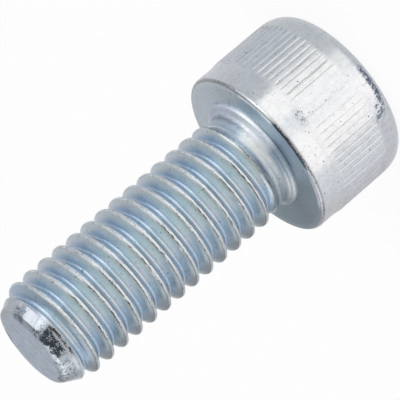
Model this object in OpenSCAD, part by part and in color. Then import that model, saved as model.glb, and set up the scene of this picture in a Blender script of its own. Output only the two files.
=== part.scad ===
// Hex socket cap screw in one piece: a knurled cylindrical head with a hex socket,
// a raised ring and fillet under the head, a plain neck and a rolled right-hand thread.
// Millimetres. The head's bearing face is at z = 0 and the shank runs up along +Z.

/* [Thread] */
// Diameter over the thread crests
thread_d = 7.8; // [7.4:0.05:8]
// Distance from one crest to the next along the axis
thread_pitch = 1.25; // [1:0.05:1.5]
// Diameter at the bottom of the thread grooves
root_d = 6.45; // [6.3:0.05:6.8]
// Length of the shank from the bearing face to the end face
shank_l = 20.25; // [12:0.05:40]
// Height above the bearing face where the thread begins to rise out of the neck
run_start = 1.2; // [0.8:0.1:3]
// Length over which the thread rises to its full form
run_l = 1; // [0.6:0.1:2.5]
// Flat steps round one turn of the thread
thread_steps = 32; // [24:4:40]
// Height of the first whole crest above the bearing face, measured on the +X side
crest_x = 0.88; // [0:0.01:1.25]

/* [Tip] */
// Diameter of the flat end face
tip_d = 5.9; // [5:0.1:6.2]
// Length of the lead cone at the tip
tip_l = 1.75; // [1:0.05:2.2]

/* [Neck] */
// Diameter of the plain neck below the thread
neck_d = 7.1; // [6.8:0.05:7.35]
// Outer diameter of the raised ring on the bearing face
ring_d = 8.4; // [8.2:0.1:10]
// Height of the raised ring above the bearing face
ring_h = 0.28; // [0.15:0.01:0.5]
// Height of the concave fillet above the ring
fillet_h = 1.2; // [0.6:0.05:1.4]

/* [Head] */
// Diameter over the knurl lands
head_d = 12.8; // [12.7:0.05:14]
// Height of the head from its top to the bearing face
head_h = 7.75; // [7.2:0.05:9]
// Diameter of the plain band next to the bearing face
band_d = 12.64; // [12.3:0.01:12.9]
// Height of the plain band
band_h = 1.75; // [1:0.05:2.5]
// Radial size of the rounded top edge
top_round = 1.1; // [0.5:0.05:1.6]
// Height of the rounded top edge
top_round_h = 1.6; // [0.8:0.05:2]
// Height of the narrow bevel round the bearing face
bevel = 0.3; // [0.1:0.05:0.6]

/* [Knurl] */
// Number of grooves round the head
grooves = 80; // [60:4:128]
// Depth of one groove
groove_depth = 0.1; // [0.05:0.01:0.2]
// Width of one groove as a share of the spacing
groove_share = 0.36; // [0.1:0.01:0.5]
// Angle that the knurl is turned by about the axis
knurl_turn = 2.7; // [0:0.1:4.5]
// Plain strip between the knurl and the rounded top edge
knurl_gap = 0.15; // [0:0.05:0.6]

/* [Socket] */
// Width across the flats of the hex socket
socket_af = 6.06; // [5:0.02:6.2]
// Depth of the flats
socket_l = 4.4; // [3:0.1:5]
// Depth of the lead-in cone at the mouth
socket_lead = 0.25; // [0.1:0.05:0.5]
// Height of the conical floor beyond the flats
floor_h = 1.1; // [0.6:0.1:1.5]

/* [Hidden] */
$fn = 96;

zinc = [0.74, 0.77, 0.80];

head_r = head_d / 2;
band_r = band_d / 2;
crest_r = thread_d / 2;
root_r = root_d / 2;
neck_r = neck_d / 2;
tip_r = tip_d / 2;
ring_r = ring_d / 2;
socket_r = socket_af / 2 / cos(30);

// 60 degree flanks: what they leave of one pitch is shared by the crest and the root
flank_run = (crest_r - root_r) * tan(30);
flat_sum = max(thread_pitch - 2 * flank_run, 0.12);
crest_w = 0.55 * flat_sum;
root_w = 0.45 * flat_sum;

// the threaded body is a grid of columns round the axis, with four points to a pitch
first_z = run_start - thread_pitch - 0.6;
base_z = first_z - 0.3;
turns = floor((shank_l - crest_w - first_z) / thread_pitch);
rows = 4 * turns + 2;

// angle of the first column, which brings a crest to the height crest_x on the +X side
thread_turn = 360 * (first_z + crest_w / 2 - crest_x) / thread_pitch;

// points that would pass the end face are gathered just under it, on the lead cone
gather_z = shank_l - 0.3;
gather_step = 0.02;

// knurl groove half width at the land surface
groove_w = PI * head_d / grooves * groove_share / 2;
groove_out = 0.15;

// height of the root's lower edge above the crest's lower edge
root_low = thread_pitch / 2 + (crest_w - root_w) / 2;

// height of point m of a column above the column's first point
function row_z(m) = thread_pitch * floor(m / 4) + [0, crest_w, root_low, root_low + root_w][m % 4];

// radius of the full thread form at point m: crest, crest, root, root
function form_r(m) = (m % 4 < 2) ? crest_r : root_r;

// share of the full thread form at height z
function rise(z) = min(1, max(0, (z - run_start) / run_l));

// largest radius the lead cone leaves at height z
function cone_r(z) = tip_r + (shank_l - z) * (crest_r - tip_r) / tip_l;

function point_r(m, z) = min(neck_r + (form_r(m) - neck_r) * rise(z), cone_r(z));

function polar(r, a, z) = [r * cos(a), r * sin(a), z];

function column_z(i, m) = min(
    first_z + thread_pitch * i / thread_steps + row_z(m),
    gather_z + gather_step * (m - rows + 6)
);

function column_point(i, m) = polar(point_r(m, column_z(i, m)), 360 * i / thread_steps, column_z(i, m));

// two triangles of the patch with these corners, seen from outside
function patch(low_left, high_left, high_right, low_right) = [
    [low_left, high_left, high_right],
    [low_left, high_right, low_right]
];

// profile of head, ring and fillet as [radius, height]
function head_profile() = concat(
    [[0, -head_h]],
    [for (a = [0 : 15 : 90]) [
        head_r - top_round + top_round * sin(a),
        -head_h + top_round_h - top_round_h * cos(a)
    ]],
    [
        [head_r, -band_h - 0.12],
        [band_r, -band_h],
        [band_r, -bevel],
        [band_r - bevel * 0.7, 0],
        [ring_r, 0],
        [ring_r - 0.05, 0.6 * ring_h],
        [ring_r - 0.2, ring_h]
    ],
    [for (a = [90 : -12 : 30]) [
        ring_r - 0.35 - (ring_r - 0.25 - neck_r) * cos(a),
        ring_h + fillet_h - fillet_h * sin(a)
    ]],
    [[0, ring_h + 0.5 * fillet_h]]
);

module threaded_body() {
    n = thread_steps;
    base = n * rows;
    end = base + n;
    last = (n - 1) * rows;
    points = concat(
        [for (i = [0 : n - 1]) for (m = [0 : rows - 1]) column_point(i, m)],
        [for (i = [0 : n - 1]) polar(neck_r, 360 * i / n, base_z)],
        [for (i = [0 : n - 1]) polar(tip_r, 360 * i / n, shank_l)]
    );
    // columns side by side, then the last column against the first one a pitch higher
    wall = [for (i = [0 : n - 2]) for (m = [0 : rows - 2])
        each patch(i * rows + m, i * rows + m + 1, (i + 1) * rows + m + 1, (i + 1) * rows + m)
    ];
    seam = [for (m = [0 : rows - 6]) each patch(last + m, last + m + 1, m + 5, m + 4)];
    // plain strips that join the columns to the ring at each end
    low = [for (i = [0 : n - 2]) each patch(base + i, i * rows, (i + 1) * rows, base + i + 1)];
    low_seam = concat(
        [[base + n - 1, last, 4]],
        [for (m = [4 : -1 : 1]) [base + n - 1, m, m - 1]],
        [[base + n - 1, 0, base]]
    );
    high = [for (i = [0 : n - 2])
        each patch((i + 1) * rows - 1, end + i, end + i + 1, (i + 2) * rows - 1)
    ];
    high_seam = concat(
        [[last + rows - 1, end + n - 1, end]],
        [[end, rows - 1, last + rows - 5]],
        [for (m = [rows - 5 : rows - 2]) [end, last + m, last + m + 1]]
    );
    caps = [
        [for (i = [0 : n - 1]) base + i],
        [for (i = [n - 1 : -1 : 0]) end + i]
    ];
    rotate(thread_turn)
        polyhedron(points = points, faces = concat(wall, seam, low, low_seam, high, high_seam, caps));
}

module knurl_grooves() {
    translate([0, 0, -head_h + top_round_h + knurl_gap])
        linear_extrude(head_h - top_round_h - knurl_gap - band_h - 0.06)
            for (i = [0 : grooves - 1])
                rotate(360 * i / grooves + knurl_turn)
                    polygon([
                        [head_r - groove_depth, 0],
                        [head_r + groove_out, -groove_w * (groove_depth + groove_out) / groove_depth],
                        [head_r + groove_out, groove_w * (groove_depth + groove_out) / groove_depth]
                    ]);
}

module head() {
    difference() {
        rotate_extrude() polygon(head_profile());
        knurl_grooves();
    }
}

module hex_socket() {
    translate([0, 0, -head_h - 0.01]) {
        cylinder(h = socket_l + 0.01, r = socket_r, $fn = 6);
        cylinder(h = socket_lead + 0.01, r1 = socket_r + 0.05, r2 = socket_af / 2);
    }
    translate([0, 0, -head_h + socket_l - 0.01])
        cylinder(h = floor_h, r1 = socket_af / 2 - 0.03, r2 = 0);
}

module cap_screw() {
    color(zinc)
        difference() {
            union() {
                head();
                threaded_body();
            }
            hex_socket();
        }
}

cap_screw();
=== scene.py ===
import math
import random

import bpy
from mathutils import Matrix, Vector, noise


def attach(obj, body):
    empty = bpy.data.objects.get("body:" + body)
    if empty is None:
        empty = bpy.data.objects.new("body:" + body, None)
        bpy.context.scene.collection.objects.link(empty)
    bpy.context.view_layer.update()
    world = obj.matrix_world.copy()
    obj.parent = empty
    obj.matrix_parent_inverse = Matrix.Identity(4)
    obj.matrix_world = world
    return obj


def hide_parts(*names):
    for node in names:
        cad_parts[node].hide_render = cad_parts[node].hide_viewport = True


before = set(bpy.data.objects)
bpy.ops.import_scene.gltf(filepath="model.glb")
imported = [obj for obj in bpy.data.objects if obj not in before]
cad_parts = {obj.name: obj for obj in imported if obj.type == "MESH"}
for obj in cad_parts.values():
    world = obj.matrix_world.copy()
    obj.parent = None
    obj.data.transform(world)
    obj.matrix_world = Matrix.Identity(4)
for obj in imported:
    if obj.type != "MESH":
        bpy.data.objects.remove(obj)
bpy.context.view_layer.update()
random.seed(8)


def selectOnly(obj):
    if bpy.context.mode != "OBJECT":
        bpy.ops.object.mode_set(mode="OBJECT")
    bpy.ops.object.select_all(action="DESELECT")
    obj.select_set(True)
    bpy.context.view_layer.objects.active = obj


def pickVertices(obj, test):
    # selects the vertices whose place passes the test, and leaves the object in edit mode
    selectOnly(obj)
    bpy.ops.object.mode_set(mode="EDIT")
    bpy.ops.mesh.select_mode(type="VERT")
    bpy.ops.mesh.select_all(action="DESELECT")
    bpy.ops.object.mode_set(mode="OBJECT")
    picked = [v for v in obj.data.vertices if test(v.co)]
    for v in picked:
        v.select = True
    bpy.ops.object.mode_set(mode="EDIT")
    return len(picked)


def drawProfile(name, points):
    # a plane merged to one vertex, extruded from point to point; points are (radius, height)
    bpy.ops.object.select_all(action="DESELECT")
    bpy.ops.mesh.primitive_plane_add(size=1, location=(0, 0, 0))
    obj = bpy.context.object
    obj.name = name
    bpy.ops.object.mode_set(mode="EDIT")
    bpy.ops.mesh.select_mode(type="VERT")
    bpy.ops.mesh.select_all(action="SELECT")
    bpy.ops.mesh.merge(type="CENTER")
    bpy.ops.transform.translate(value=(points[0][0], 0, points[0][1]))
    for (r0, z0), (r1, z1) in zip(points, points[1:]):
        bpy.ops.mesh.extrude_region_move(TRANSFORM_OT_translate={"value": (r1 - r0, 0, z1 - z0)})
    bpy.ops.mesh.select_all(action="SELECT")
    return obj


def extrudeRings(points, start):
    # the selected ring is extruded and resized from ring to ring; points are (radius, height, x of centre)
    r0, z0, x0 = start
    for r1, z1, x1 in points:
        bpy.ops.mesh.extrude_region_move(TRANSFORM_OT_translate={"value": (x1 - x0, 0, z1 - z0)})
        bpy.ops.transform.resize(value=(r1 / r0, r1 / r0, 1), center_override=(x1, 0, z1))
        r0, z0, x0 = r1, z1, x1


def useModifier(obj, kind, **values):
    selectOnly(obj)
    mod = obj.modifiers.new(kind.title(), kind)
    for key, value in values.items():
        setattr(mod, key, value)
    bpy.ops.object.modifier_apply(modifier=mod.name)


def closeUp(obj, threshold):
    pickVertices(obj, lambda p: True)
    bpy.ops.mesh.remove_doubles(threshold=threshold)
    bpy.ops.mesh.select_all(action="SELECT")
    bpy.ops.mesh.normals_make_consistent(inside=False)
    bpy.ops.object.mode_set(mode="OBJECT")


shank = {
    "length": 20.25,
    "pitch": 1.266,
    "crestR": 3.9,
    "rootR": 3.215,
    "crestAtX": 0.764,  # height of a crest where it crosses +X
    "tipR": 2.95,
    "leadLength": 1.77,
    "fillFrom": 19.3,  # the last groove runs out on the lead cone from here
    "fillOver": 0.3,
    "neckR": 3.55,
    "neckTop": 1.05,
    "neckShift": 0.05,
    "riseFrom": 1.2,  # the thread rises out of the neck here
    "riseOver": 1.0,
    "ringR": 4.2,
    "ringHeight": 0.31,
    "ringShift": 0.22,  # the ring was headed a little off centre
    "filletHeight": 0.6,
    "wave": 0.02,  # the crests are never quite even
    "endRings": (2.88, 2.78, 2.65, 2.5, 1.7, 0.7),  # radii on the end face, from its edge inward
    "wornFrom": 0.7,  # the wear reaches this far down the lead cone
    "flatR": 2.5,  # the end face is worn down outside this
    "wear": 0.03,
    "wearFront": 0.1,
    "wearSide": 0.04,
    "columns": 144,
}


def threadForm():
    # one pitch of the rolled thread from root to root, as (radius, height from the crest)
    c, r = shank["crestR"], shank["rootR"]
    half = shank["pitch"] / 2
    return [
        (r, -half),
        (r + 0.008, -0.57),
        (r + 0.045, -0.52),
        (r + 0.34, -0.335),
        (c - 0.055, -0.15),
        (c - 0.018, -0.115),
        (c, -0.06),
        (c, 0.03),
        (c - 0.012, 0.085),
        (c - 0.05, 0.108),
        (c - 0.04, 0.135),
        (c - 0.085, 0.17),
        (r + 0.32, 0.345),
        (r + 0.045, 0.52),
        (r + 0.008, 0.57),
        (r, half),
    ]


def ease(share):
    # 0 to 1, slow at both ends
    share = min(1, max(0, share))
    return share * share * (3 - 2 * share)


def shankRadius(r, z):
    # the run-out under the head, and the lead cone at the tip
    s = shank
    r = s["neckR"] + (r - s["neckR"]) * ease((z - s["riseFrom"]) / s["riseOver"])
    cone = s["tipR"] + (s["length"] - z) * (s["crestR"] - s["tipR"]) / s["leadLength"]
    return cone if r > cone else r + (cone - r) * ease((z - s["fillFrom"]) / s["fillOver"])


def buildShank():
    s = shank
    start = s["crestAtX"] - 2 * s["pitch"] + s["pitch"] / 2
    middle = start + s["pitch"] / 2
    obj = drawProfile("shank", [(r, middle + h) for r, h in threadForm()])
    bpy.ops.object.mode_set(mode="OBJECT")
    turns = int((s["length"] - start) / s["pitch"]) + 2
    useModifier(obj, "SCREW", axis="Z", angle=2 * math.pi, screw_offset=s["pitch"], iterations=turns,
                steps=s["columns"], render_steps=s["columns"])
    low, high = s["neckTop"], s["length"]
    depth = s["crestR"] - s["rootR"]
    for v in obj.data.vertices:
        x, y, z = v.co
        old = math.hypot(x, y)
        z = min(max(z, low), high)
        r = shankRadius(old, z)
        if s["riseFrom"] + 0.6 < z < high - 0.3:
            wave = noise.noise(Vector((x, y, z)) * 1.1) * s["wave"] - s["wave"] / 2
            r += wave * max(0, (old - s["rootR"]) / depth)
        v.co = (x / old * r, y / old * r, z)
    closeUp(obj, 2e-4)
    print("thread rolled:", turns, "turns,", len(obj.data.vertices), "vertices")

    # down from the neck: fillet, raised ring and a foot inside the head
    pickVertices(obj, lambda p: abs(p.z - low) < 1e-4)
    ring, out = s["ringHeight"], s["ringR"]
    rings = [(s["neckR"], 0.97, s["neckShift"])]
    for step in range(1, 7):
        a = math.radians(14 * step)
        shift = s["neckShift"] + (s["ringShift"] - s["neckShift"]) * step / 6
        rings.append((out - 0.3 - (out - 0.3 - s["neckR"]) * math.cos(a),
                      ring + 0.02 + s["filletHeight"] * (1 - math.sin(a)), shift))
    for r, z in [(out - 0.22, ring), (out - 0.13, ring - 0.03), (out - 0.06, ring - 0.09),
                 (out - 0.02, ring - 0.17), (out, 0.04), (out, -0.06)]:
        rings.append((r, z, s["ringShift"]))
    extrudeRings(rings, (s["neckR"], low, 0))
    bpy.ops.mesh.edge_face_add()

    # the end face, with its edge worn down, most of all on the side of -Y
    pickVertices(obj, lambda p: abs(p.z - high) < 1e-4)
    extrudeRings([(r, high, 0) for r in s["endRings"]], (s["tipR"], high, 0))
    bpy.ops.mesh.edge_face_add()
    bpy.ops.object.mode_set(mode="OBJECT")
    for v in obj.data.vertices:
        r = math.hypot(v.co.x, v.co.y)
        if v.co.z < high - s["wornFrom"] or r < s["flatR"]:
            continue
        front = 0.5 - 0.5 * v.co.y / r
        side = max(0, -v.co.x / r) ** 3  # a little more is gone on the side of -X
        worn = s["wear"] + s["wearFront"] * front + s["wearSide"] * side
        way = (r - s["flatR"]) / (s["tipR"] - s["flatR"])
        v.co.z = min(v.co.z, high - worn * (way ** 2 if way < 1 else 2 * way - 1))
    closeUp(obj, 1e-5)
    print("shank built:", len(obj.data.polygons), "faces")
    return obj


head = {
    "height": 7.75,
    "landR": 6.4,
    "bandR": 6.32,
    "band": 1.75,
    "bevel": 0.3,
    "bevelWidth": 0.21,
    "topRound": 1.1,
    "topRoundHeight": 1.6,
    "grooves": 80,
    "grooveDepth": 0.1,
    "shallowest": 0.45,  # the least share of the depth that a groove is pressed to
    "grooveShare": 0.36,
    "knurlTurn": 2.7,
    "knurlGap": 0.15,
    "landWave": 0.01,
    "socketFlats": 6.06,
    "socketDepth": 4.4,
    "floorHeight": 1.1,
    "leadIn": 0.25,
}


def headProfile():
    h = head
    top, band = -h["height"], -h["band"]
    low = top + h["topRoundHeight"]
    points = [(0.0, 0.0), (3.9, 0.0), (4.8, 0.0), (5.6, 0.0)]
    bevel = [math.radians(a) for a in (90, 72, 54, 36, 18, 0)]
    points += [(h["bandR"] - h["bevelWidth"] * (1 - math.cos(a)), -h["bevel"] * (1 - math.sin(a)))
               for a in bevel]
    points += [(h["bandR"], -0.7), (h["bandR"], -1.2)]
    # the band widens into the lands in eight short steps
    ledge = [(1 - math.cos(math.radians(22.5 * k))) / 2 for k in range(1, 9)]
    step = h["landR"] - h["bandR"]
    points += [(h["bandR"] + step * share, band + 0.5 - 0.12 * k) for k, share in enumerate(ledge, 1)]
    run = low + h["knurlGap"] - points[-1][1]
    points += [(h["landR"], points[-1][1] + run * k / 7) for k in range(1, 8)]
    rounding = [math.radians(7.5 * k) for k in range(13)]
    points += [(h["landR"] - h["topRound"] * (1 - math.cos(a)), low - h["topRoundHeight"] * math.sin(a))
               for a in rounding]
    return points + [(4.6, top), (3.9, top), (0.0, top)]


def buildHead():
    h = head
    sector = 2 * math.pi / h["grooves"]
    groove = sector * h["grooveShare"] / 2
    grooveLow = -h["height"] + h["topRoundHeight"] + h["knurlGap"] + 0.02
    grooveHigh = -h["band"] - 0.2
    obj = drawProfile("head", headProfile())

    # one knurl sector: land, groove, land
    for angle in (groove, groove, sector - 2 * groove):
        bpy.ops.mesh.spin(steps=1, angle=angle, center=(0, 0, 0), axis=(0, 0, 1))
    found = pickVertices(obj, lambda p: p.x > 6 and abs(abs(math.atan2(p.y, p.x)) - groove) < 0.001
                         and grooveLow < p.z < grooveHigh)
    shrink = 1 - h["grooveDepth"] / h["landR"]
    bpy.ops.transform.resize(value=(shrink, shrink, 1), center_override=(0, 0, 0))
    print("knurl sector:", found, "points pressed in")
    bpy.ops.mesh.select_all(action="SELECT")
    bpy.ops.mesh.spin(steps=h["grooves"] - 1, angle=sector * (h["grooves"] - 1), dupli=True,
                      center=(0, 0, 0), axis=(0, 0, 1))
    bpy.ops.object.mode_set(mode="OBJECT")
    closeUp(obj, 1e-3)
    print("head turned and knurled:", len(obj.data.polygons), "faces")

    # no two grooves are pressed alike, and the lands are a little wavy
    least = h["shallowest"]
    depths = [least + (1 - least) * random.random() for i in range(h["grooves"])]
    for v in obj.data.vertices:
        r = math.hypot(v.co.x, v.co.y)
        if r < 6 or not -h["height"] + 0.8 < v.co.z < -h["bevel"] - 0.05:
            continue
        want = r - h["landWave"] + noise.noise(v.co * 0.6) * h["landWave"]
        if r < h["landR"] - 0.6 * h["grooveDepth"] and grooveLow < v.co.z < grooveHigh:
            which = round((math.atan2(v.co.y, v.co.x) + math.pi) / sector)
            want = h["landR"] - h["grooveDepth"] * depths[which % h["grooves"]]
        v.co.x *= want / r
        v.co.y *= want / r

    selectOnly(obj)
    obj.rotation_euler = (0, 0, math.radians(h["knurlTurn"]))
    bpy.ops.object.transform_apply(location=True, rotation=True, scale=True)

    # the socket: hexagon with corners on +X and -X, lead-in and drilled floor
    top, flats = -h["height"], h["socketFlats"]
    corner = flats / 2 / math.cos(math.pi / 6)
    bpy.ops.object.select_all(action="DESELECT")
    bpy.ops.mesh.primitive_cylinder_add(vertices=6, radius=corner, depth=h["socketDepth"] + 1,
                                        location=(0, 0, top + h["socketDepth"] / 2 - 0.5),
                                        rotation=(0, 0, math.pi / 2))
    cutters = [bpy.context.object]
    drilled = (flats / 2 - 0.02, 0, h["floorHeight"], top + h["socketDepth"] - 0.02 + h["floorHeight"] / 2)
    mouth = (corner + 0.3, corner - 0.2, 2 * h["leadIn"], top)
    for low, high, depth, middle in (drilled, mouth):
        bpy.ops.object.select_all(action="DESELECT")
        bpy.ops.mesh.primitive_cone_add(vertices=96, radius1=low, radius2=high, depth=depth,
                                        location=(0, 0, middle))
        cutters.append(bpy.context.object)
    for cutter in cutters:
        useModifier(obj, "BOOLEAN", operation="DIFFERENCE", solver="EXACT", object=cutter)
        bpy.data.objects.remove(cutter)
    print("socket cut:", len(obj.data.polygons), "faces")
    return obj


screw = {
    "name": "capScrew",
    "smoothAngle": 38,
}


def joinScrew(shankPart, headPart):
    useModifier(shankPart, "BOOLEAN", operation="UNION", solver="EXACT", object=headPart)
    bpy.data.objects.remove(headPart)
    shankPart.name = screw["name"]
    shankPart.data.name = screw["name"]
    selectOnly(shankPart)
    bpy.ops.transform.resize(value=(0.001, 0.001, 0.001), center_override=(0, 0, 0))
    bpy.ops.object.transform_apply(location=True, rotation=True, scale=True)
    bpy.ops.object.shade_smooth_by_angle(angle=math.radians(screw["smoothAngle"]))
    print("screw joined:", len(shankPart.data.polygons), "faces")
    return shankPart


shankPart = buildShank()
headPart = buildHead()
capScrew = joinScrew(shankPart, headPart)


zinc = {
    "roughness": 0.3,
    "matt": 0.5,  # the ring, the neck and the bearing face are duller
    "brushed": 0.45,  # the end face
    "grainy": 0.5,
    "holes": ((3.0, 0.07, 0.36), (6.0, 0.042, 0.2)),  # cells to a millimetre, size, share with a pit
    "bump": 0.12,
    "bumpDepth": 0.00003,
}


def newMaterial(name):
    mat = bpy.data.materials.new(name)
    mat.use_nodes = True
    mat.node_tree.nodes.clear()
    return mat


def wire(tree, value, socket):
    if isinstance(value, bpy.types.NodeSocket):
        tree.links.new(value, socket)
    else:
        socket.default_value = value


def put(tree, kind, inputs=None, **settings):
    # one node with its settings; an input is a socket to link or a plain value
    node = tree.nodes.new(kind)
    for key, value in settings.items():
        setattr(node, key, value)
    for key, value in (inputs or {}).items():
        wire(tree, value, node.inputs[key])
    return node


def calc(tree, operation, *values):
    # a chain of the same operation when there are more than two values
    out = values[0]
    for value in values[1:] or (None,):
        node = put(tree, "ShaderNodeMath", {0: out}, operation=operation)
        if value is not None:
            wire(tree, value, node.inputs[1])
        out = node.outputs[0]
    return out


def stretch(tree, vector, x, y, z):
    return put(tree, "ShaderNodeVectorMath", {0: vector, 1: (x, y, z)}, operation="MULTIPLY").outputs[0]


def fade(tree, value, low, high):
    # 0 below low, 1 above high, eased between them; high may be the lower one
    node = put(tree, "ShaderNodeMapRange", {0: value, 1: low, 2: high}, interpolation_type="SMOOTHSTEP")
    return node.outputs[0]


def window(tree, value, low, high, soft):
    # 1 between low and high, with soft borders
    up = fade(tree, value, low - soft, low + soft)
    down = fade(tree, value, high + soft, high - soft)
    return calc(tree, "MULTIPLY", up, down)


def line(tree, value, factor, offset=0.0):
    return calc(tree, "ADD", calc(tree, "MULTIPLY", value, factor), offset)


def tone(r, g, b):
    # a colour as a picture shows it, 0 to 255, turned to linear light
    out = []
    for c in (r, g, b):
        c = c / 255
        out.append(((c + 0.055) / 1.055) ** 2.4 if c > 0.04 else c / 12.92)
    return (*out, 1)


def turnRamp(tree, value, stops):
    # colours by the angle round the screw, in degrees
    place = put(tree, "ShaderNodeMapRange", {0: value, 1: -90.0, 2: 90.0}).outputs[0]
    node = put(tree, "ShaderNodeValToRGB", {0: place})
    colours = node.color_ramp
    while len(colours.elements) < len(stops):
        colours.elements.new(0.99)
    for element, (at, colour) in zip(colours.elements, stops):
        element.position = (at + 90) / 180
        element.color = tone(*colour)
    return node.outputs[0]


def lay(tree, mask, under, over):
    # one colour laid over another where the mask says
    node = put(tree, "ShaderNodeMix", data_type="RGBA")
    wire(tree, mask, node.inputs[0])
    wire(tree, under, node.inputs[6])
    wire(tree, over, node.inputs[7])
    return node.outputs[2]


def stain(tree, paint, mask, share, colour):
    # a flat tone laid over the paint, at most as strong as the share
    return lay(tree, line(tree, mask, share), paint, tone(*colour))


def grain(tree, vector, scale, detail=2.0, rough=0.5):
    # noise from about -0.5 to 0.5
    node = put(tree, "ShaderNodeTexNoise", {"Vector": vector, "Scale": scale, "Detail": detail,
                                            "Roughness": rough})
    return calc(tree, "SUBTRACT", node.outputs[0], 0.5)


def pits(tree, vector, scale, size, share):
    # small irregular pits in the plate; share is how many of the cells have one
    bend = put(tree, "ShaderNodeTexNoise", {"Vector": vector, "Scale": 9.0, "Detail": 1.0}).outputs[1]
    bend = put(tree, "ShaderNodeVectorMath", {0: bend, "Scale": 0.1}, operation="SCALE").outputs[0]
    moved = put(tree, "ShaderNodeVectorMath", {0: vector, 1: bend}, operation="ADD").outputs[0]
    cells = put(tree, "ShaderNodeTexVoronoi", {"Vector": moved, "Scale": scale})
    big, chosen = put(tree, "ShaderNodeSeparateColor", {0: cells.outputs["Color"]}).outputs[:2]
    chosen = calc(tree, "ADD", chosen, line(tree, grain(tree, vector, 0.5), 0.9))
    limit = line(tree, big, 0.6 * size * scale, 0.4 * size * scale)
    limit = calc(tree, "MULTIPLY", limit, fade(tree, chosen, 1 - share, 1.03 - share))
    gap = calc(tree, "SUBTRACT", limit, cells.outputs["Distance"])
    return fade(tree, gap, -0.02 * scale * size, 0.4 * scale * size)


def measure(tree):
    # millimetre places on the screw and the noises that every part of the paint shares
    coords = put(tree, "ShaderNodeTexCoord")
    place = put(tree, "ShaderNodeVectorMath", {0: coords.outputs["Object"], "Scale": 1000.0},
                operation="SCALE").outputs[0]
    x, y, z = put(tree, "ShaderNodeSeparateXYZ", {0: place}).outputs
    toDegrees = 180 / math.pi
    front = line(tree, y, -1.0)
    at = {"place": place, "x": x, "y": y, "z": z, "front": front}
    at["r"] = calc(tree, "SQRT", calc(tree, "ADD", calc(tree, "POWER", x, 2.0), calc(tree, "POWER", y, 2.0)))
    at["turn"] = line(tree, calc(tree, "ARCTAN2", x, front), toDegrees)
    # the back repeats the front
    at["fold"] = line(tree, calc(tree, "ARCTAN2", x, calc(tree, "ABSOLUTE", y)), toDegrees)
    at["broad"] = grain(tree, place, 0.45, 3.0)
    at["fine"] = grain(tree, place, 3.0, 3.0, 0.65)
    at["speck"] = grain(tree, place, 11.0, 2.0, 0.6)
    # the angle and the height again, with ragged borders
    at["side"] = calc(tree, "ADD", at["fold"], line(tree, at["broad"], 10.0), line(tree, at["fine"], 9.0),
                      line(tree, at["speck"], 4.0))
    at["uneven"] = calc(tree, "ADD", z, line(tree, at["fine"], 0.5))
    return at


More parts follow.
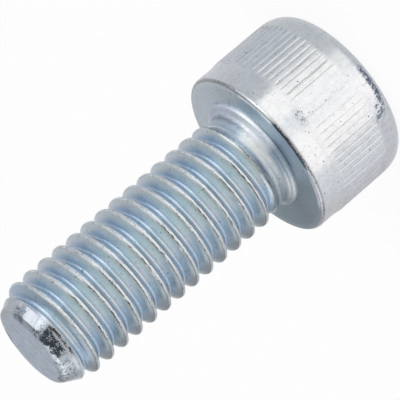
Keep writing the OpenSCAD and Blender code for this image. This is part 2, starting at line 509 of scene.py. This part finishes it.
def headPaint(tree, at):
    # plain band, knurl and rounded top edge, in tones by the angle round the screw that are painted
    # reflections: a painted highlight across the front, greyer to the sides
    bandTone = turnRamp(tree, at["side"], [
        (-82, (164, 164, 168)), (-62, (190, 192, 197)), (-45, (208, 212, 218)), (-34, (219, 222, 225)),
        (-27, (250, 250, 251)), (-12, (255, 255, 255)), (-5, (240, 242, 245)), (1, (232, 236, 240)),
        (7, (250, 251, 252)), (22, (252, 252, 254)), (27, (188, 194, 200)), (38, (180, 186, 193)),
        (60, (186, 191, 198)), (90, (190, 192, 200)),
    ])
    knurlTone = turnRamp(tree, at["side"], [
        (-84, (172, 174, 179)), (-58, (196, 199, 206)), (-44, (210, 214, 219)), (-33, (216, 220, 223)),
        (-27, (244, 244, 247)), (-16, (255, 255, 255)), (-6, (247, 248, 251)), (6, (246, 248, 250)),
        (14, (246, 247, 247)), (21, (234, 237, 239)), (30, (204, 208, 211)), (42, (180, 187, 194)),
        (60, (180, 186, 195)), (90, (188, 190, 198)),
    ])
    edgeTone = turnRamp(tree, at["side"], [
        (-84, (168, 170, 175)), (-48, (192, 196, 202)), (-31, (202, 206, 212)), (-22, (242, 242, 246)),
        (-5, (252, 252, 255)), (3, (236, 239, 241)), (14, (232, 236, 237)), (20, (196, 202, 205)),
        (32, (182, 189, 194)), (90, (188, 191, 197)),
    ])

    # every groove shows a dark line of painted shade and, further out, a pale line of painted highlight
    pitch = 360 / head["grooves"]
    local = line(tree, at["turn"], 1 / pitch, 0.5 - head["knurlTurn"] / pitch)
    local = calc(tree, "SUBTRACT", calc(tree, "FRACT", local), 0.5)
    outward = calc(tree, "SIGN", calc(tree, "MULTIPLY", at["x"], at["front"]))
    local = calc(tree, "ADD", calc(tree, "MULTIPLY", local, outward), line(tree, at["fine"], 0.16))
    away = calc(tree, "ABSOLUTE", at["side"])
    drawn = grain(tree, stretch(tree, at["place"], 1.4, 1.4, 0.35), 1.0)
    pressed = line(tree, fade(tree, drawn, -0.16, 0.04), 0.55, 0.45)
    pressed = calc(tree, "MULTIPLY", pressed, fade(tree, at["uneven"], -1.82, -2.1),
                   fade(tree, at["uneven"], -6.0, -5.75))
    # painted shade on one wall of each groove
    grooveShade = line(tree, window(tree, away, 9, 31, 3), 0.62, 0.06)
    right = window(tree, at["side"], -66, -31, 4)
    grooveShade = calc(tree, "MAXIMUM", grooveShade, line(tree, right, 0.5))
    grooveShade = calc(tree, "MULTIPLY", grooveShade, pressed, window(tree, local, -0.12, -0.03, 0.04))
    # painted highlight on the other wall, further out
    paleGlint = calc(tree, "MULTIPLY", pressed, window(tree, local, 0.03, 0.19, 0.05),
                line(tree, fade(tree, away, 20, 27), 0.7, 0.3), window(tree, at["side"], -68, 56, 5),
                line(tree, fade(tree, at["side"], 46, 34), 0.6, 0.4))
    widerGlint = calc(tree, "MULTIPLY", right, pressed, window(tree, local, 0.03, 0.24, 0.05))
    paleGlint = calc(tree, "MAXIMUM", paleGlint, widerGlint)
    knurlTone = lay(tree, grooveShade, knurlTone, tone(138, 136, 134))
    knurlTone = lay(tree, paleGlint, knurlTone, tone(252, 253, 255))
    paint = lay(tree, fade(tree, at["uneven"], -2.3, -1.6), knurlTone, bandTone)
    paint = lay(tree, fade(tree, at["uneven"], -5.7, -6.1), paint, edgeTone)
    paint = lay(tree, fade(tree, at["uneven"], -6.75, -7.15), paint, tone(190, 194, 201))

    # dark painted reflection along the rounded edge, and a cluster of specks above the band
    bow = calc(tree, "POWER", calc(tree, "ABSOLUTE", line(tree, at["turn"], 1 / 23, 6 / 23)), 3.0)
    level = calc(tree, "ADD", at["z"], line(tree, bow, -0.36, 7.06), line(tree, at["fine"], 0.5))
    drawn = grain(tree, stretch(tree, at["place"], 5.0, 5.0, 1.6), 1.0, 3.0, 0.7)
    # painted dark reflection along the rounded top edge
    darkReflection = calc(tree, "MULTIPLY", window(tree, level, -0.31, 0.15, 0.1),
                 window(tree, at["turn"], -32, 1, 2.5))
    edge = calc(tree, "MULTIPLY", window(tree, level, -0.15, 0.55, 0.15),
                window(tree, at["turn"], -35, -20, 3))
    darkReflection = calc(tree, "MAXIMUM", calc(tree, "MULTIPLY", darkReflection, fade(tree, drawn, -0.13, 0.07)),
                 calc(tree, "MULTIPLY", edge, fade(tree, drawn, 0.0, 0.12)))
    paint = stain(tree, paint, darkReflection, 0.92, (62, 76, 100))
    cluster = calc(tree, "MULTIPLY", window(tree, at["turn"], -5, 6, 3),
                   window(tree, at["uneven"], -1.95, -1.4, 0.12),
                   fade(tree, calc(tree, "ADD", at["speck"], line(tree, at["fine"], 0.7)), 0.0, 0.12))
    return stain(tree, paint, cluster, 0.8, (96, 104, 112))


def lowPaint(tree, at):
    # bearing face, ring and neck, in tones by the angle round the screw that are painted reflections
    patchy = calc(tree, "ADD", at["fold"], line(tree, at["broad"], 28.0))
    faceTone = turnRamp(tree, patchy, [
        (-90, (138, 150, 163)), (-50, (144, 160, 170)), (-25, (176, 190, 202)), (-8, (172, 190, 210)),
        (12, (190, 208, 220)), (28, (168, 188, 200)), (45, (204, 215, 223)), (90, (215, 222, 232)),
    ])
    ringTone = turnRamp(tree, patchy, [
        (-90, (140, 152, 161)), (-66, (186, 190, 195)), (-48, (190, 195, 200)), (-30, (164, 178, 191)),
        (-10, (166, 182, 200)), (2, (230, 237, 248)), (30, (248, 251, 255)), (55, (222, 230, 243)),
        (90, (206, 212, 228)),
    ])
    neckTone = turnRamp(tree, patchy, [
        (-90, (166, 178, 188)), (-55, (206, 216, 221)), (-28, (243, 248, 251)), (8, (250, 252, 249)),
        (24, (248, 253, 255)), (38, (180, 198, 212)), (60, (172, 186, 200)), (90, (186, 194, 206)),
    ])
    # painted shade in the hollow of the fillet under the ring
    creaseShade = calc(tree, "MULTIPLY", window(tree, at["uneven"], 0.54, 0.76, 0.16),
                  line(tree, window(tree, at["fold"], -62, 22, 12), -0.65, 1.0))
    paint = lay(tree, fade(tree, at["z"], 0.42, 0.75), ringTone, neckTone)
    paint = stain(tree, paint, creaseShade, 0.55, (88, 106, 130))
    paint = lay(tree, fade(tree, at["z"], 0.03, -0.005), paint, faceTone)
    # painted shadow on the bearing face just outside the ring, and a wider, fainter painted shadow beyond it
    shadowSide = calc(tree, "MULTIPLY", window(tree, at["turn"], -32, 22, 10), fade(tree, at["z"], 0.05, 0.0))
    shifted = calc(tree, "SUBTRACT", at["x"], shank["ringShift"])
    ringEdge = calc(tree, "ADD", calc(tree, "POWER", at["y"], 2.0), calc(tree, "POWER", shifted, 2.0))
    ringEdge = calc(tree, "SQRT", ringEdge)
    ringShadow = calc(tree, "MULTIPLY", shadowSide, window(tree, ringEdge, 4.1, 4.3, 0.06))
    wideShadow = calc(tree, "MULTIPLY", shadowSide, fade(tree, ringEdge, 5.1, 4.3), window(tree, at["turn"], -32, 2, 8))
    paint = stain(tree, paint, ringShadow, 0.5, (92, 112, 134))
    paint = stain(tree, paint, wideShadow, 0.45, (112, 134, 150))

    specks = calc(tree, "MULTIPLY", window(tree, at["turn"], 44, 64, 3), window(tree, at["r"], 4.4, 5.9, 0.1),
                  fade(tree, calc(tree, "ADD", at["speck"], line(tree, at["fine"], 0.8)), 0.11, 0.17))
    paint = stain(tree, paint, specks, 0.7, (92, 100, 110))

    # the lip round the face: a pale painted highlight, then a black painted reflection, then a white painted
    # highlight as the turn grows
    out = calc(tree, "ADD", at["r"], line(tree, at["speck"], 0.25), line(tree, at["fine"], 0.3))
    paleGlint = calc(tree, "MULTIPLY", fade(tree, out, 5.78, 5.9), window(tree, at["turn"], -62, -26, 4),
                fade(tree, at["speck"], -0.16, 0.02))
    blackReflection = calc(tree, "MULTIPLY", fade(tree, out, 5.92, 6.0), window(tree, at["turn"], -26, 8, 2),
                 fade(tree, at["speck"], -0.2, 0.0))
    whiteGlint = calc(tree, "MULTIPLY", fade(tree, out, 5.8, 5.88), window(tree, at["turn"], 9, 38, 2))
    paint = lay(tree, paleGlint, paint, tone(222, 227, 234))
    paint = lay(tree, whiteGlint, paint, tone(255, 255, 255))
    return stain(tree, paint, blackReflection, 0.92, (62, 68, 74))


def threadPaint(tree, at):
    # place on the thread form: 0 at a crest, rising towards the tip
    pitch = shank["pitch"]
    phase = calc(tree, "SUBTRACT", line(tree, at["z"], 1 / pitch, -shank["crestAtX"] / pitch),
                 line(tree, calc(tree, "ARCTAN2", at["y"], at["x"]), 0.5 / math.pi))
    rubbed = grain(tree, stretch(tree, at["place"], 1.0, 1.0, 4.0), 1.6, 3.0, 0.65)
    ragged = calc(tree, "FRACT", calc(tree, "ADD", phase, line(tree, at["fine"], 0.18),
                                      line(tree, rubbed, 0.16), line(tree, at["speck"], 0.07)))
    phase = calc(tree, "FRACT", calc(tree, "ADD", phase, line(tree, at["fine"], 0.03)))
    patchy = calc(tree, "ADD", at["fold"], line(tree, at["broad"], 18.0))
    # flanks facing the tip: painted reflections with the plate's interference tint, and a white painted
    # highlight at the front
    upper = turnRamp(tree, patchy, [
        (-90, (132, 144, 154)), (-68, (136, 147, 153)), (-55, (125, 137, 142)), (-42, (168, 181, 187)),
        (-26, (198, 210, 214)), (-10, (233, 240, 230)), (6, (226, 237, 227)), (30, (202, 215, 217)),
        (50, (203, 216, 226)), (90, (222, 230, 240)),
    ])
    lower = turnRamp(tree, patchy, [
        (-90, (124, 142, 160)), (-62, (150, 172, 194)), (-40, (202, 224, 242)), (-22, (255, 255, 255)),
        (-6, (248, 255, 255)), (6, (228, 246, 255)), (18, (224, 242, 254)), (32, (174, 195, 216)),
        (52, (154, 182, 210)), (90, (192, 208, 230)),
    ])
    # painted shade on the flank just beside the crest
    shoulderShade = turnRamp(tree, patchy, [
        (-90, (132, 140, 147)), (-58, (137, 144, 149)), (-40, (150, 158, 164)), (-25, (172, 181, 186)),
        (-8, (204, 212, 212)), (6, (212, 221, 220)), (20, (222, 228, 232)), (90, (212, 222, 230)),
    ])
    paint = lay(tree, fade(tree, phase, 0.18, 0.4), upper, lower)
    paint = lay(tree, fade(tree, phase, 0.2, 0.13), paint, shoulderShade)
    # painted shade on the flanks that face the head
    under = turnRamp(tree, patchy, [
        (-90, (176, 188, 200)), (-55, (188, 201, 213)), (-20, (194, 209, 222)), (25, (196, 209, 219)),
        (40, (198, 209, 218)), (55, (212, 220, 228)), (90, (206, 214, 226)),
    ])
    paint = lay(tree, fade(tree, phase, 0.5, 0.56), paint, under)
    # painted highlight along the root
    rootHighlight = turnRamp(tree, patchy, [
        (-90, (132, 144, 162)), (-50, (180, 196, 213)), (-20, (205, 219, 236)), (22, (206, 220, 234)),
        (40, (152, 172, 192)), (90, (165, 175, 188)),
    ])
    paint = lay(tree, window(tree, phase, 0.455, 0.51, 0.012), paint, rootHighlight)

    # the last flank has no thread beyond it to mirror, and is bluer
    lastTone = turnRamp(tree, at["fold"], [
        (-40, (140, 152, 166)), (-20, (138, 150, 164)), (-8, (168, 183, 193)), (9, (188, 207, 222)),
        (40, (184, 206, 224)),
    ])
    last = calc(tree, "MULTIPLY", window(tree, phase, 0.11, 0.31, 0.03), fade(tree, at["z"], 18.1, 18.25),
                fade(tree, at["z"], 19.0, 18.75))
    paint = lay(tree, line(tree, last, 0.85), paint, lastTone)

    # the crest carries a painted highlight, its edges are ragged and in places dark
    crestHighlight = turnRamp(tree, at["side"], [
        (-90, (170, 176, 183)), (-60, (176, 181, 187)), (-42, (202, 206, 208)), (-22, (228, 232, 236)),
        (24, (240, 244, 247)), (34, (206, 211, 215)), (60, (172, 180, 188)), (90, (174, 182, 189)),
    ])
    onCrest = calc(tree, "MAXIMUM", fade(tree, ragged, 0.905, 0.925), fade(tree, ragged, 0.06, 0.04))
    crestHighlight = lay(tree, line(tree, fade(tree, rubbed, 0.02, 0.14), 0.35), crestHighlight, tone(132, 138, 146))
    paint = lay(tree, onCrest, paint, crestHighlight)
    patch = calc(tree, "ADD", at["broad"], line(tree, at["fine"], 0.8))
    # painted highlight spilling past the crest edge at the front
    crestGlint = calc(tree, "MULTIPLY", window(tree, ragged, 0.03, 0.115, 0.015),
                window(tree, at["turn"], -30, 26, 8), fade(tree, rubbed, -0.03, -0.08))
    paint = stain(tree, paint, crestGlint, 0.8, (246, 243, 236))
    seam = calc(tree, "MULTIPLY", window(tree, ragged, 0.045, 0.085, 0.012),
                window(tree, at["turn"], -38, 14, 8), fade(tree, patch, -0.07, 0.02))
    paint = stain(tree, paint, seam, 0.9, (60, 58, 54))
    shadow = calc(tree, "MULTIPLY", window(tree, ragged, 0.875, 0.91, 0.012), fade(tree, patch, 0.1, -0.06))
    paint = stain(tree, paint, shadow, 0.45, (86, 98, 112))
    dots = calc(tree, "MULTIPLY", onCrest, window(tree, at["turn"], 20, 56, 8),
                fade(tree, at["speck"], 0.02, 0.12))
    paint = stain(tree, paint, dots, 0.6, (92, 98, 106))

    # the tint of glancing light, darker on the flanks that face the head
    glance = turnRamp(tree, patchy, [
        (-60, (255, 255, 255)), (-42, (238, 240, 242)), (-25, (220, 224, 228)), (-10, (194, 200, 206)),
        (8, (188, 194, 200)), (22, (190, 195, 201)), (33, (230, 233, 237)), (50, (250, 250, 250)),
    ])
    towardHead = calc(tree, "MULTIPLY", window(tree, phase, 0.56, 0.9, 0.03),
                      fade(tree, at["z"], 1.4, 2.0), fade(tree, at["z"], 19.5, 19.2))
    return paint, lay(tree, towardHead, tone(255, 255, 255), glance)


def tipPaint(tree, at, paint):
    # lead cone in painted reflection tones, with a white painted highlight and a black painted reflection on
    # the side of -Y, and the sheared end face
    lead = line(tree, calc(tree, "SUBTRACT", shank["length"], at["z"]),
                (shank["crestR"] - shank["tipR"]) / shank["leadLength"], shank["tipR"])
    onCone = calc(tree, "MULTIPLY", fade(tree, calc(tree, "SUBTRACT", at["r"], lead), -0.05, -0.03),
                  fade(tree, at["z"], 18.6, 18.9))
    onCone = calc(tree, "MAXIMUM", onCone, fade(tree, at["z"], 19.75, 19.85))
    coneTone = turnRamp(tree, calc(tree, "ADD", at["fold"], line(tree, at["fine"], 14.0)), [
        (-90, (172, 180, 190)), (-50, (196, 203, 210)), (-30, (206, 213, 222)), (0, (212, 220, 228)),
        (14, (212, 220, 228)), (20, (168, 176, 187)), (27, (136, 145, 157)), (38, (138, 147, 159)),
        (50, (206, 213, 221)), (90, (190, 197, 205)),
    ])
    tipTurn = calc(tree, "ADD", at["turn"], line(tree, at["fine"], 14.0), line(tree, at["speck"], 9.0))
    slant = calc(tree, "ADD", tipTurn, line(tree, at["z"], 5.0, -5.0 * 19.33))
    mottle = calc(tree, "ADD", at["speck"], line(tree, at["fine"], 0.8))
    drawn = calc(tree, "ADD", at["z"], line(tree, at["fine"], 0.15))
    # white painted highlight, mottled darker within
    whiteGlint = calc(tree, "MULTIPLY", window(tree, slant, 20.5, 39, 1.0), window(tree, drawn, 19.38, 20.5, 0.02),
                 fade(tree, mottle, 0.26, 0.16))
    coneTone = lay(tree, whiteGlint, coneTone, tone(194, 198, 205))
    dull = calc(tree, "MULTIPLY", whiteGlint, fade(tree, mottle, -0.02, 0.1))
    coneTone = lay(tree, dull, coneTone, tone(176, 182, 192))
    loose = calc(tree, "MAXIMUM", window(tree, slant, 2, 21, 2), window(tree, tipTurn, -90, -36, 5))
    dense = calc(tree, "ADD", mottle, line(tree, fade(tree, at["z"], 19.8, 20.2), 0.06))
    loose = calc(tree, "MULTIPLY", loose, fade(tree, at["z"], 19.2, 19.5), fade(tree, dense, 0.02, 0.09))
    blue = calc(tree, "MULTIPLY", window(tree, tipTurn, 38, 56, 3), window(tree, at["z"], 19.65, 20.3, 0.08),
                fade(tree, mottle, -0.02, 0.06))
    coneTone = stain(tree, coneTone, loose, 0.8, (80, 88, 100))
    coneTone = stain(tree, coneTone, blue, 0.75, (76, 90, 116))
    # black painted reflection on the lead cone
    darkReflectionPatch = calc(tree, "MULTIPLY", window(tree, slant, -29, 6, 2),
                  window(tree, at["uneven"], 19.44, 20.18, 0.05), fade(tree, mottle, 0.16, 0.05))
    coneTone = stain(tree, coneTone, darkReflectionPatch, 0.95, (56, 64, 74))
    level = calc(tree, "ADD", at["z"], line(tree, at["turn"], -0.005), line(tree, at["fine"], 0.45))
    smudge = calc(tree, "MULTIPLY", window(tree, tipTurn, -36, 6, 2), window(tree, level, 19.26, 19.4, 0.03),
                  fade(tree, mottle, -0.14, 0.0))
    coneTone = lay(tree, smudge, coneTone, tone(82, 80, 80))
    level = calc(tree, "ADD", at["z"], line(tree, at["turn"], -0.004))
    scratch = calc(tree, "MULTIPLY", window(tree, tipTurn, 26, 64, 3), fade(tree, mottle, -0.1, 0.04),
                   window(tree, level, 19.02, 19.09, 0.02))
    paint = lay(tree, onCone, paint, coneTone)
    paint = stain(tree, paint, scratch, 0.75, (80, 88, 100))
    streak = grain(tree, stretch(tree, at["place"], 1.5, 4.0, 1.0), 1.0, 5.0, 0.75)
    endTone = lay(tree, fade(tree, streak, -0.12, 0.12), tone(179, 192, 206), tone(206, 213, 230))
    endTone = lay(tree, line(tree, fade(tree, mottle, 0.14, 0.22), 0.5), endTone, tone(122, 134, 156))
    inside = calc(tree, "ADD", at["r"], line(tree, at["fine"], 0.3))
    onEnd = calc(tree, "MULTIPLY", fade(tree, at["z"], 20.0, 20.1), fade(tree, inside, 2.68, 2.56))
    edge = calc(tree, "MULTIPLY", window(tree, inside, 2.52, 2.6, 0.03), fade(tree, at["z"], 20.1, 20.2),
                fade(tree, mottle, -0.12, 0.06), window(tree, at["turn"], -70, 48, 8))
    paint = lay(tree, onEnd, paint, endTone)
    return stain(tree, paint, edge, 0.55, (92, 98, 108))


def zincPlate():
    mat = newMaterial("zincPlate")
    tree = mat.node_tree
    at = measure(tree)
    underThread = fade(tree, at["z"], 1.6, 1.2)
    paint, glance = threadPaint(tree, at)
    paint = lay(tree, underThread, paint, lowPaint(tree, at))
    paint = tipPaint(tree, at, paint)
    onHead = fade(tree, at["z"], -0.01, -0.04)
    paint = lay(tree, onHead, paint, headPaint(tree, at))

    # the bevel round the bearing face in painted reflection tones, a dark painted reflection along it and
    # small chips
    bevelTone = turnRamp(tree, at["side"], [
        (-90, (170, 171, 176)), (-50, (176, 179, 185)), (-30, (180, 183, 189)), (-14, (198, 200, 203)),
        (7, (198, 200, 203)), (12, (216, 218, 220)), (27, (208, 210, 214)), (34, (176, 180, 186)),
        (90, (178, 181, 187)),
    ])
    edge = calc(tree, "ADD", at["z"], line(tree, at["speck"], 0.2), line(tree, at["fine"], 0.12))
    onBevel = calc(tree, "MULTIPLY", fade(tree, at["r"], 6.1, 6.13), window(tree, edge, -0.16, 0.04, 0.03))
    paint = lay(tree, onBevel, paint, bevelTone)
    # painted dark reflection along the edge of the bevel
    worn = calc(tree, "MULTIPLY", fade(tree, at["r"], 6.06, 6.1), window(tree, edge, -0.065, 0.05, 0.02),
                window(tree, at["turn"], -27, 8, 2), fade(tree, at["speck"], -0.3, -0.1))
    paint = stain(tree, paint, worn, 0.92, (58, 62, 68))
    sides = calc(tree, "MAXIMUM", window(tree, at["turn"], -78, 10, 5), window(tree, at["turn"], 38, 62, 5))
    chips = calc(tree, "MULTIPLY", fade(tree, at["r"], 6.08, 6.12), window(tree, edge, -0.13, -0.01, 0.03),
                 fade(tree, calc(tree, "ADD", at["speck"], line(tree, at["fine"], 0.6)), 0.0, 0.1), sides)
    paint = stain(tree, paint, chips, 0.7, (66, 70, 76))

    # pits and fine grain
    holes = calc(tree, "MAXIMUM", *[pits(tree, at["place"], *kind) for kind in zinc["holes"]])
    paint = stain(tree, paint, holes, 0.8, (70, 76, 86))
    dust = fade(tree, calc(tree, "ADD", at["speck"], line(tree, at["fine"], 0.6)), 0.19, 0.27)
    paint = stain(tree, paint, dust, 0.4, (96, 102, 112))
    scuffs = grain(tree, stretch(tree, at["place"], 1.0, 1.0, 0.6), 2.2, 5.0, 0.75)
    scuffs = calc(tree, "MULTIPLY", scuffs, onHead)
    shade = calc(tree, "ADD", 1.0, line(tree, at["speck"], zinc["grainy"]), line(tree, at["fine"], 0.3),
                 line(tree, scuffs, 0.4))
    paint = put(tree, "ShaderNodeVectorMath", {0: paint, "Scale": shade}, operation="SCALE").outputs[0]

    mattPart = calc(tree, "MULTIPLY", underThread, fade(tree, at["z"], -0.1, 0.0),
                    fade(tree, at["r"], 5.9, 5.75))
    rough = calc(tree, "ADD", zinc["roughness"], line(tree, at["fine"], 0.12), line(tree, holes, 0.3),
                 line(tree, mattPart, zinc["matt"] - zinc["roughness"]),
                 line(tree, fade(tree, at["z"], 20.1, 20.2), zinc["brushed"] - zinc["roughness"]))
    height = calc(tree, "SUBTRACT", line(tree, at["fine"], 0.5), holes)
    height = calc(tree, "ADD", height, at["speck"])
    bump = put(tree, "ShaderNodeBump", {"Strength": zinc["bump"], "Distance": zinc["bumpDepth"],
                                        "Height": height})
    bsdf = put(tree, "ShaderNodeBsdfPrincipled", {"Base Color": paint, "Metallic": 1.0, "Roughness": rough,
                                                  "Specular Tint": glance, "Normal": bump.outputs[0]})
    put(tree, "ShaderNodeOutputMaterial", {"Surface": bsdf.outputs[0]})
    return mat


capScrew.data.materials.clear()
capScrew.data.materials.append(zincPlate())
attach(capScrew, "root")
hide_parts("cap_screw")
print("zinc plate put on")


studio = {
    "floorZ": -0.00775,
    "floorSize": 3.0,
    "floorLight": 0.92,  # how much of the floor is plain light rather than a lit surface
    "horizon": 0.63,  # the room is a little darker overhead
    "zenith": 0.4,
    "keyLamp": {"place": (0.41, -0.26, 0.355), "size": 0.62, "power": 1.05},
    "fillLamp": {"place": (-0.42, 0.21, 0.52), "size": 0.78, "power": 1.6},
    "lampAim": (0, 0, 0.005),
    "cameraPlace": (0.000171438, -0.185897779, 0.0696783961),
    "cameraTurn": (
        (-0.64897973, 0.7608057, 0.0),
        (-0.25001484, -0.21326676, -0.94446274),
        (-0.71855264, -0.61293717, 0.32861852),
    ),
    "lens": 269.27,
    "sensor": 36,
}


def buildFloor():
    bpy.ops.object.select_all(action="DESELECT")
    bpy.ops.mesh.primitive_plane_add(size=studio["floorSize"], location=(0, 0, studio["floorZ"]))
    floor = bpy.context.object
    floor.name = "paleFloor"
    bpy.ops.object.transform_apply(location=True, rotation=True, scale=True)
    mat = newMaterial("paleFloor")
    tree = mat.node_tree
    path = put(tree, "ShaderNodeLightPath").outputs
    seen = calc(tree, "MAXIMUM", path["Is Camera Ray"], path["Is Glossy Ray"], path["Is Transmission Ray"])
    share = calc(tree, "MULTIPLY", seen, studio["floorLight"])
    matt = put(tree, "ShaderNodeBsdfDiffuse", {"Color": (0.96, 0.96, 0.96, 1)})
    bright = put(tree, "ShaderNodeEmission", {"Color": (1, 1, 1, 1), "Strength": 1.0})
    top = put(tree, "ShaderNodeMixShader", {0: share, 1: matt.outputs[0], 2: bright.outputs[0]})
    clear = put(tree, "ShaderNodeBsdfTransparent")
    side = put(tree, "ShaderNodeNewGeometry")
    sheet = put(tree, "ShaderNodeMixShader", {0: side.outputs["Backfacing"], 1: top.outputs[0],
                                              2: clear.outputs[0]})
    put(tree, "ShaderNodeOutputMaterial", {"Surface": sheet.outputs[0]})
    floor.data.materials.append(mat)


def addLamp(name):
    values = studio[name]
    bpy.ops.object.select_all(action="DESELECT")
    bpy.ops.object.light_add(type="AREA", location=values["place"])
    lamp = bpy.context.object
    lamp.name = name
    lamp.data.shape = "DISK"
    lamp.data.size = values["size"]
    lamp.data.energy = values["power"]
    aim = Vector(studio["lampAim"]) - Vector(values["place"])
    lamp.rotation_euler = aim.to_track_quat("-Z", "Y").to_euler()


def buildStudio():
    buildFloor()
    addLamp("keyLamp")
    addLamp("fillLamp")
    world = bpy.data.worlds.new("studioWorld")
    world.use_nodes = True
    tree = world.node_tree
    direction = put(tree, "ShaderNodeTexCoord").outputs["Generated"]
    height = put(tree, "ShaderNodeSeparateXYZ", {0: direction}).outputs[2]
    strength = put(tree, "ShaderNodeMapRange", {0: height, 1: 0.45, 2: 0.95, 3: studio["horizon"],
                                                4: studio["zenith"]}).outputs[0]
    room = tree.nodes["Background"]
    wire(tree, (1, 1, 1, 1), room.inputs[0])
    wire(tree, strength, room.inputs[1])
    bpy.context.scene.world = world
    bpy.context.scene.view_settings.view_transform = "Standard"
    print("floor, lamps and world set")


def placeCamera():
    data = bpy.data.cameras.new("photoCamera")
    camera = bpy.data.objects.new("photoCamera", data)
    bpy.context.scene.collection.objects.link(camera)
    data.sensor_width = studio["sensor"]
    data.lens = studio["lens"]
    data.clip_start = 0.01
    data.clip_end = 50
    turn = Matrix(studio["cameraTurn"]).to_4x4()
    camera.matrix_world = Matrix.Translation(studio["cameraPlace"]) @ turn
    bpy.context.scene.camera = camera
    print("camera placed")


buildStudio()
placeCamera()
